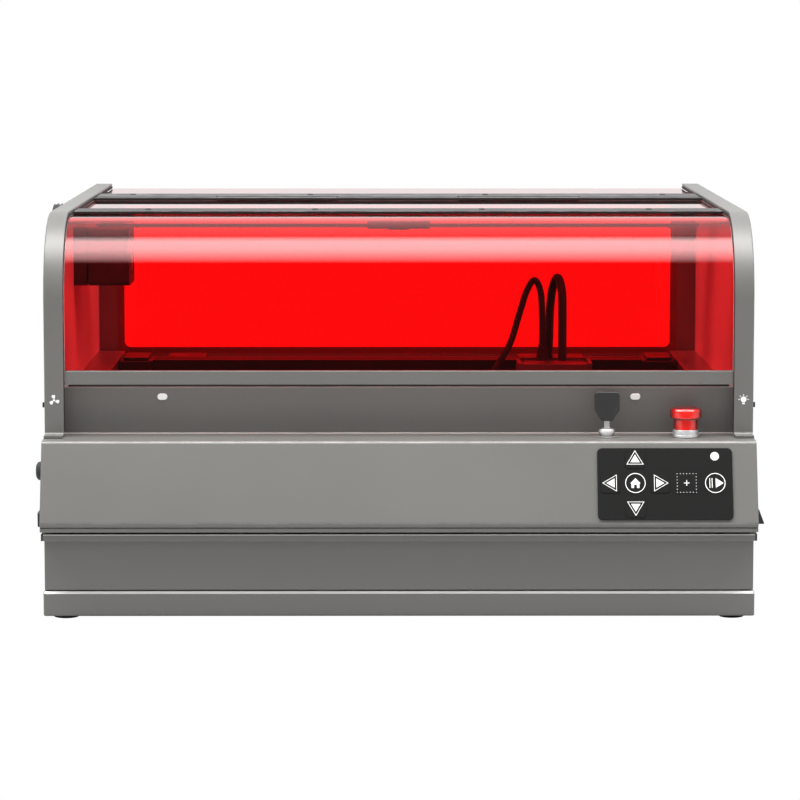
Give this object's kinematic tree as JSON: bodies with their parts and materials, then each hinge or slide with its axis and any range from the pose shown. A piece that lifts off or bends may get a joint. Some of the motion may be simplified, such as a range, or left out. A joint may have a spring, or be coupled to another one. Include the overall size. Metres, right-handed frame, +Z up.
{
  "type": "desktop laser cutter",
  "caption": "Enclosed desktop laser cutter with a lift-up tinted hood, sloped control console, pull-out material drawer, belt gantry and laser head.",
  "frame": {"origin": "under the middle of the machine's bounding box, at the underside of the feet", "axes": "+Z up, -Y towards the user (the console side), +X to the user's right"},
  "size_m": [0.5896, 0.5566, 0.3199],
  "materials": {
    "grey_steel": "satin metallic grey powder coat",
    "red_acrylic": "clear tinted acrylic",
    "black_plastic": "fine matte",
    "black_aluminium": "black anodised",
    "aluminium": "clear anodised",
    "steel": "zinc plated",
    "chrome": "polished",
    "keypad": "smooth overlay",
    "red_plastic": "glossy",
    "circuit_board": "solder mask",
    "rubber": "matte",
    "cable_black": "matte jacket"
  },
  "bodies": {
    "casing": {"base_pan": "grey_steel", "foot_front_left": "rubber", "foot_front_right": "rubber", "foot_rear_left": "rubber", "foot_rear_right": "rubber", "side_panel_left": "grey_steel", "side_panel_right": "grey_steel", "console_shell": "grey_steel", "front_wall": "grey_steel", "rear_panel": "grey_steel", "rear_window": "red_acrylic", "roof_panel": "red_acrylic", "hinge_leaf_fixed": "black_aluminium", "hinge_pin": "steel", "drawer_runner_left": "steel", "drawer_runner_right": "steel", "y_rail_left": "aluminium", "y_rail_right": "aluminium", "keypad_plate": "keypad", "estop_ring": "chrome", "key_lock": "chrome", "power_inlet": "black_plastic", "fan_frame": "black_plastic", "exhaust_collar": "black_plastic", "power_supply": "aluminium", "control_board": "circuit_board", "y_motor": "black_aluminium"},
    "hood": {"lid_shield": "red_acrylic", "lid_bottom_bar": "grey_steel", "lid_cross_rail": "black_aluminium", "hinge_leaf_lid": "black_aluminium", "lid_camera": "black_plastic"},
    "drawer": {"drawer_front": "grey_steel", "drawer_tray": "steel", "honeycomb_bed": "aluminium"},
    "gantry": {"gantry_beam": "black_aluminium", "gantry_block_left": "black_aluminium", "gantry_block_right": "black_aluminium", "x_motor": "black_aluminium"},
    "carriage": {"carriage_plate": "black_aluminium"},
    "head": {"laser_module": "aluminium", "cable_boot": "rubber", "laser_harness": "cable_black", "air_hose": "cable_black"},
    "drive_shaft": {"y_drive_shaft": "steel"},
    "rotor": {"fan_rotor": "black_plastic"},
    "stop_button": {"estop_button": "red_plastic"},
    "lock_key": {"key": "black_plastic", "key_plug": "steel"},
    "rocker": {"power_rocker": "black_plastic"},
    "fan_slider": {"fan_switch": "black_plastic"},
    "light_slider": {"light_switch": "black_plastic"},
    "air_dial": {"air_knob": "black_plastic"},
    "up_key": {"key_up": "keypad"},
    "down_key": {"key_down": "keypad"},
    "left_key": {"key_left": "keypad"},
    "right_key": {"key_right": "keypad"},
    "home_key": {"key_home": "keypad"},
    "frame_key": {"key_frame": "keypad"},
    "start_key": {"key_start": "keypad"}
  },
  "joints": [
    {"name": "hood_hinge", "type": "hinge", "parent": "casing", "child": "hood", "pos_m": [0.00525, 0.08576, 0.3132], "axis": [-1, 0, 0], "range_deg": [0, 75]},
    {"name": "drawer_slide", "type": "slide", "parent": "casing", "child": "drawer", "axis": [0, -1, 0], "range_m": [0, 0.4]},
    {"name": "gantry_slide", "type": "slide", "parent": "casing", "child": "gantry", "axis": [0, 1, 0], "range_m": [-0.28, 0.006]},
    {"name": "head_slide", "type": "slide", "parent": "gantry", "child": "carriage", "axis": [1, 0, 0], "range_m": [-0.33, 0.05]},
    {"name": "focus_slide", "type": "slide", "parent": "carriage", "child": "head", "axis": [0, 0, 1], "range_m": [-0.003, 0.02]},
    {"name": "shaft_spin", "type": "hinge", "parent": "casing", "child": "drive_shaft", "pos_m": [0.00525, 0.25226, 0.1255], "axis": [1, 0, 0], "range_deg": [-2520, 60]},
    {"name": "fan_spin", "type": "hinge", "parent": "casing", "child": "rotor", "pos_m": [-0.27545, 0.04826, 0.275], "axis": [1, 0, 0], "continuous": true},
    {"name": "stop_press", "type": "slide", "parent": "casing", "child": "stop_button", "axis": [0, 0, -1], "range_m": [0, 0.004], "stiffness_N_per_m": 1500},
    {"name": "key_turn", "type": "hinge", "parent": "casing", "child": "lock_key", "pos_m": [0.17125, -0.22774, 0.1435], "axis": [0, 0, -1], "range_deg": [0, 90]},
    {"name": "rocker_tilt", "type": "hinge", "parent": "casing", "child": "rocker", "pos_m": [0.28625, -0.24874, 0.0835], "axis": [0, 1, 0], "range_deg": [0, 12]},
    {"name": "fan_switch_slide", "type": "slide", "parent": "casing", "child": "fan_slider", "axis": [0, 0, 1], "range_m": [0, 0.004]},
    {"name": "light_switch_slide", "type": "slide", "parent": "casing", "child": "light_slider", "axis": [0, 0, 1], "range_m": [0, 0.004]},
    {"name": "air_knob_turn", "type": "hinge", "parent": "casing", "child": "air_dial", "pos_m": [-0.27775, -0.24974, 0.1192], "axis": [-1, 0, 0], "range_deg": [-135, 135]},
    {"name": "up_press", "type": "slide", "parent": "casing", "child": "up_key", "axis": [0, 0.9376, -0.3477], "range_m": [0, 0.0004], "stiffness_N_per_m": 1500},
    {"name": "down_press", "type": "slide", "parent": "casing", "child": "down_key", "axis": [0, 0.9376, -0.3477], "range_m": [0, 0.0004], "stiffness_N_per_m": 1500},
    {"name": "left_press", "type": "slide", "parent": "casing", "child": "left_key", "axis": [0, 0.9376, -0.3477], "range_m": [0, 0.0004], "stiffness_N_per_m": 1500},
    {"name": "right_press", "type": "slide", "parent": "casing", "child": "right_key", "axis": [0, 0.9376, -0.3477], "range_m": [0, 0.0004], "stiffness_N_per_m": 1500},
    {"name": "home_press", "type": "slide", "parent": "casing", "child": "home_key", "axis": [0, 0.9376, -0.3477], "range_m": [0, 0.0004], "stiffness_N_per_m": 1500},
    {"name": "frame_press", "type": "slide", "parent": "casing", "child": "frame_key", "axis": [0, 0.9376, -0.3477], "range_m": [0, 0.0004], "stiffness_N_per_m": 1500},
    {"name": "start_press", "type": "slide", "parent": "casing", "child": "start_key", "axis": [0, 0.9376, -0.3477], "range_m": [0, 0.0004], "stiffness_N_per_m": 1500}
  ],
  "couplings": [
    {"joint": "shaft_spin", "follows": "gantry_slide", "rad_per_m": 156.25}
  ]
}
